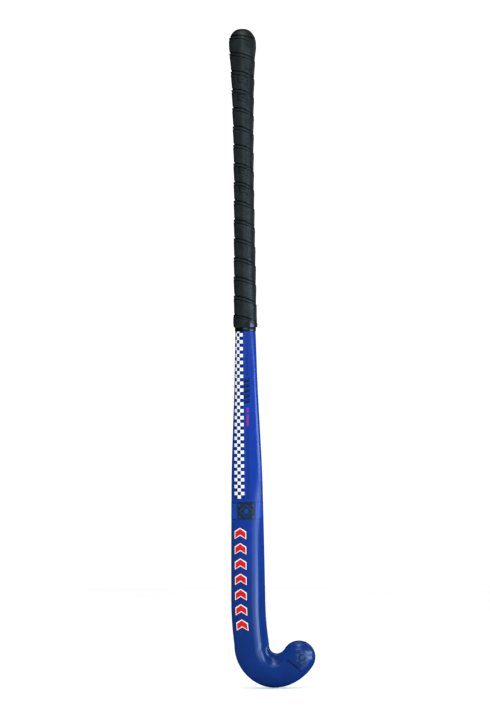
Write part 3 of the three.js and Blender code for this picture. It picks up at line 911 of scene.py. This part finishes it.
def build_band():
    """The blue band with a line along each edge, and a badge with a plain pattern at the back."""
    left, right = BADGE_EDGES
    for node in ("lower_band_line_decal", "upper_band_line_decal"):
        line = Film(node.replace("_decal", ""))
        low = levels(node)[0]
        line.patch(around_from(left - LINE_GAP, right + LINE_GAP, low, low + LINE_WIDTH), BAND_STEPS, 1, 0.14)
        line.build(band_line, "black_film", node)
    low, high = BAND_BOTTOM, BAND_TOP
    band = Film("collar_band")
    places = around_from(left - BAND_GAP, right + BAND_GAP, low + BAND_INSET, high - BAND_INSET)
    band.patch(places, BAND_STEPS, 6, 0.10)
    band.build(band_blue, "navy_film", "collar_band_decal")
    badge = Film("collar_badge")
    badge.rectangle(left, right, low, high + BADGE_OVER, lift=0.14)
    centre, middle = (left + right) / 2, (low + high) / 2

    def square_ring(inner, outer, spin):
        """Sides of a square outline round the badge's middle, with its first corner at spin degrees."""
        for side in range(4):
            def place_at(across, up):
                radius = mix(inner, outer, up)
                ends = [math.radians(spin + 90 * (side + end)) for end in (0, 1)]
                x = mix(*(radius * math.cos(a) for a in ends), across)
                z = mix(*(radius * math.sin(a) for a in ends), across)
                return centre + x, middle + z

            badge.patch(place_at, 6, 1, BADGE_PRINT, 1)

    square_ring(*BADGE_RING, 0)
    square_ring(*BADGE_DIAMOND, 45)
    for side in (-1, 1):
        for end in (-1, 1):
            x, z = centre + side * BADGE_CORNER[0], middle + end * BADGE_CORNER[1]
            low, high = z - BADGE_SQUARE, z + BADGE_SQUARE
            badge.rectangle(x - BADGE_SQUARE, x + BADGE_SQUARE, low, high, lift=BADGE_PRINT, look=1)
    badge.build([badge_black, badge_blue], "black_film", "collar_badge_decal")


def around_from(left, right, bottom, top):
    """Places for a band that runs from the right of the badge, round the playing face, to the left of it."""
    ring = shaft_point(np.full(AROUND.shape, (bottom + top) / 2), AROUND)
    girth = float(np.sum(np.hypot(np.diff(ring[:, 0]), np.diff(ring[:, 1]))))

    def place_at(across, up):
        distance = mix(right, girth + left, across)
        return (distance if distance < girth / 2 else distance - girth), mix(bottom, top, up)

    return place_at


TAB_EDGES = (0.3, 11.2)
TAB_LIFT = 0.95  # enough to clear the grip's creases
TAB_OVERLAP = 0.4  # how far down it starts below the CAD tab


def build_tape_tab():
    """The end of the finish tape, which runs up onto the grip."""
    tab = Film("finish_tape_tab_film", at=grip_point)
    tab.rectangle(*TAB_EDGES, TAB_BOTTOM - TAB_OVERLAP, TAB_TOP, lift=TAB_LIFT, step=1.0)
    tab.build(vinyl, "finish_vinyl", "finish_tape_tab")


# ---- decals on the head ----
def on_head(x, z, lift):
    """A point on the head's rounded back over a point of its plan."""
    dx, dz = x - BEND_CENTRE[0], z - BEND_CENTRE[1]
    angle = math.atan2(dz, dx) % (2 * math.pi)
    if BEND_START < angle < BEND_END:
        cx, cz, across_x, across_z, full = bend_station(angle)
        across, reach = (x - cx) * across_x + (z - cz) * across_z, 0.0
    else:
        cx, cz, across_x, across_z, full = bend_station(BEND_END)
        across = (x - cx) * across_x + (z - cz) * across_z
        reach = (x - cx) * across_z - (z - cz) * across_x
    half = math.sqrt(max(full**2 - reach**2, 1e-6))
    turn = -math.acos(max(-1, min(1, across / half)))
    relief = bend_relief(min(angle, BEND_END) if angle > BEND_START else BEND_END)
    depth = float(outline(turn, half, BEND_CENTRE[1], full=full, reach=reach, **relief)[1])
    return x, depth + float(bow(z)) - lift, z


HEAD_LIFT = 0.16


class HeadFilm(Film):
    """The same on the head, where a patch's places are (x, z) on its plan."""

    thickness = 0.08

    def point(self, x, z, lift):
        return on_head(x, z, lift)


# Rings of six arcs each: inner and outer radius, start and end within an arc's 60 degrees, and columns.
TOE_ARCS = ((5.6, 7.4, 4, 56, 10), (8.2, 9.6, 18, 42, 5), (0.4, 2.9, 0, 60, 6))


def build_toe_badge():
    low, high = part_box("toe_badge_decal")
    cx, cz = (low.x + high.x) / 2 / MM, ((low.z + high.z) / 2 - FOOT) / MM
    badge = HeadFilm("toe_badge")

    def arc(inner, outer, start, end):
        def place_at(across, up):
            angle, radius = math.radians(mix(start, end, across)), mix(inner, outer, up)
            return cx + radius * math.cos(angle), cz + radius * math.sin(angle)

        return place_at

    for side in range(6):
        for inner, outer, start, end, columns in TOE_ARCS:
            badge.patch(arc(inner, outer, side * 60 + start, side * 60 + end), columns, 2, HEAD_LIFT)
    badge.build(toe_grey, "black_film", "toe_badge_decal")


TOE_DASH_COUNT = 8
TOE_DASH_SIZE = (2.3, 2.6)
TOE_DASH_INSET = 1.2  # from the corners of the CAD decal's box to the middles of the end dashes


def build_toe_dashes():
    low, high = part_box("toe_dash_row_decal")
    start = (low.x / MM + TOE_DASH_INSET, (high.z - FOOT) / MM - TOE_DASH_INSET)
    end = (high.x / MM - TOE_DASH_INSET, (low.z - FOOT) / MM + TOE_DASH_INSET)
    row = HeadFilm("toe_dash_row")
    length = math.dist(start, end)
    along = ((end[0] - start[0]) / length, (end[1] - start[1]) / length)
    for share in np.linspace(0, 1, TOE_DASH_COUNT):
        centre = (mix(start[0], end[0], share), mix(start[1], end[1], share))

        def place_at(across, up):
            s, t = (across - 0.5) * TOE_DASH_SIZE[0], (up - 0.5) * TOE_DASH_SIZE[1]
            return centre[0] + along[0] * s - along[1] * t, centre[1] + along[1] * s + along[0] * t

        row.patch(place_at, 2, 2, HEAD_LIFT)
    row.build(black_film, "black_film", "toe_dash_row_decal")


# ---- the pieces inside, which stay as CAD made them ----
INSIDE = {
    "shaft_foam_core": moulded("shaft_foam", (0.62, 0.55, 0.38), 0.85, grain=700, depth=0.0002),
    "head_core": moulded("dense_head_foam", (0.42, 0.29, 0.12), 0.8, grain=900, depth=0.00015),
    "butt_flare_collar": moulded("collar_foam", (0.55, 0.5, 0.38), 0.85, grain=800, depth=0.0002),
    "end_plug": moulded("plug_nylon", (0.04, 0.043, 0.046), 0.5),
}


def aramid_weave():
    look = Look("aramid_weave", 0.55)
    weave = look.pattern("Wave", 160, Distortion=0.4)
    look.colour(weave, (0.42, 0.27, 0.03), (0.62, 0.44, 0.08))
    look.bumps((weave, 0.0001))
    return look.material


INSIDE["face_reinforcing_ply"] = aramid_weave()


def dress_inside():
    for node, look in INSIDE.items():
        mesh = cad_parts[node].data
        mesh.materials.clear()
        mesh.materials.append(look)


# ---- stage, lights and camera ----
# From here on, lengths are in metres.
def on_axis(height, x=0.0):
    """The place at a height in millimetres on the stick's axis, or x millimetres beside it."""
    return Vector((x * MM, 0, FOOT + height * MM))


TARGET = on_axis(472.8, x=-0.9)
VIEW_HEIGHT = 0.989  # of the picture at the stick
CAMERA_DISTANCE = 9.0
CAMERA_ROLL = math.radians(0.61)
FLOOR_REACH = 4
FLOOR_GAP = 0.0005


def build_floor():
    mesh = bpy.data.meshes.new("studio_floor")
    corners = [(x * FLOOR_REACH, y * FLOOR_REACH, 0) for x, y in ((-1, -1), (1, -1), (1, 1), (-1, 1))]
    mesh.from_pydata(corners, [], [(0, 1, 2, 3)])
    floor = bpy.data.objects.new("studio_floor", mesh)
    floor.location.z = FOOT - FLOOR_GAP
    bpy.context.scene.collection.objects.link(floor)
    look = Look("floor_white", 0.9, Specular_IOR_Level=0.1)
    look.colour(look.pattern("Noise", 3), (0.9, 0.9, 0.9), (0.93, 0.93, 0.93))
    mesh.materials.append(look.material)
    floor.visible_glossy = False


def softbox(name, azimuth, elevation, distance, size, radiance, aim, colour):
    """A panel light that faces a point of the stick, in degrees right of the camera and above it."""
    light = bpy.data.lights.new(name, "AREA")
    light.shape = "RECTANGLE"
    light.size, light.size_y = size
    light.energy = radiance * math.pi * size[0] * size[1]
    light.color = colour
    lamp = bpy.data.objects.new(name, light)
    a, e = math.radians(azimuth), math.radians(elevation)
    toward_lamp = Vector((math.sin(a) * math.cos(e), -math.cos(a) * math.cos(e), math.sin(e)))
    lamp.location = aim + distance * toward_lamp
    lamp.rotation_euler = (aim - lamp.location).to_track_quat("-Z", "Y").to_euler()
    lamp.visible_camera = False
    bpy.context.scene.collection.objects.link(lamp)


DAYLIGHT = 1.12  # the even light from all round, which the glossy coat doesn't reflect


def light_the_stage():
    world = bpy.data.worlds.new("studio")
    bpy.context.scene.world = world
    world.use_nodes = True
    background = world.node_tree.nodes["Background"]
    background.inputs["Color"].default_value = (1, 1, 1, 1)
    background.inputs["Strength"].default_value = DAYLIGHT
    world.cycles_visibility.glossy = False
    head, shaft, handle = on_axis(120), on_axis(435), on_axis(740)
    sky_blue, pale_cyan, white = (0.56, 0.76, 1), (0.76, 0.98, 1), (1, 1, 1)
    softbox("head_panel", 58, -16, 1.2, (0.8, 0.32), 11.0, head, sky_blue)
    softbox("bend_panel", 56, -2.4, 1.2, (0.9, 0.27), 2.8, head, sky_blue)
    softbox("head_fill", 30, -10, 1.3, (0.5, 0.4), 2.8, head, sky_blue)
    softbox("shaft_panel", 56, -6.5, 1.2, (0.95, 0.24), 9.5, shaft, sky_blue)
    softbox("handle_panel", 2, 0, 1.3, (0.6, 0.40), 3.0, handle, pale_cyan)
    softbox("edge_panel", 4, 42, 1.4, (0.45, 0.7), 6.0, handle, pale_cyan)
    softbox("low_panel", 46, -32, 1.2, (0.5, 0.4), 2.2, head, sky_blue)
    softbox("top_panel", 0, 78, 2.2, (1.6, 1.6), 1.2, TARGET, white)
    softbox("rear_panel", 140, 10, 2.6, (1.0, 2.2), 0.5, TARGET, pale_cyan)


def set_camera():
    data = bpy.data.cameras.new("camera")
    data.sensor_width = 36
    data.lens = data.sensor_width * CAMERA_DISTANCE / VIEW_HEIGHT
    data.clip_end = 100
    camera = bpy.data.objects.new("camera", data)
    camera.matrix_world = (
        Matrix.Translation(TARGET - Vector((0, CAMERA_DISTANCE, 0)))
        @ Matrix.Rotation(math.pi / 2, 4, "X")
        @ Matrix.Rotation(-CAMERA_ROLL, 4, "Z")
    )
    bpy.context.scene.collection.objects.link(camera)
    bpy.context.scene.camera = camera
    bpy.context.scene.view_settings.view_transform = "Standard"


build_shell()
build_grip()
build_cap()
build_finish_tape()
build_tape_tab()
build_check_strip()
build_pin_stripes()
build_slash_blocks()
build_red_dashes()
build_red_marks()
build_band()
build_toe_badge()
build_toe_dashes()
dress_inside()
build_floor()
light_the_stage()
set_camera()
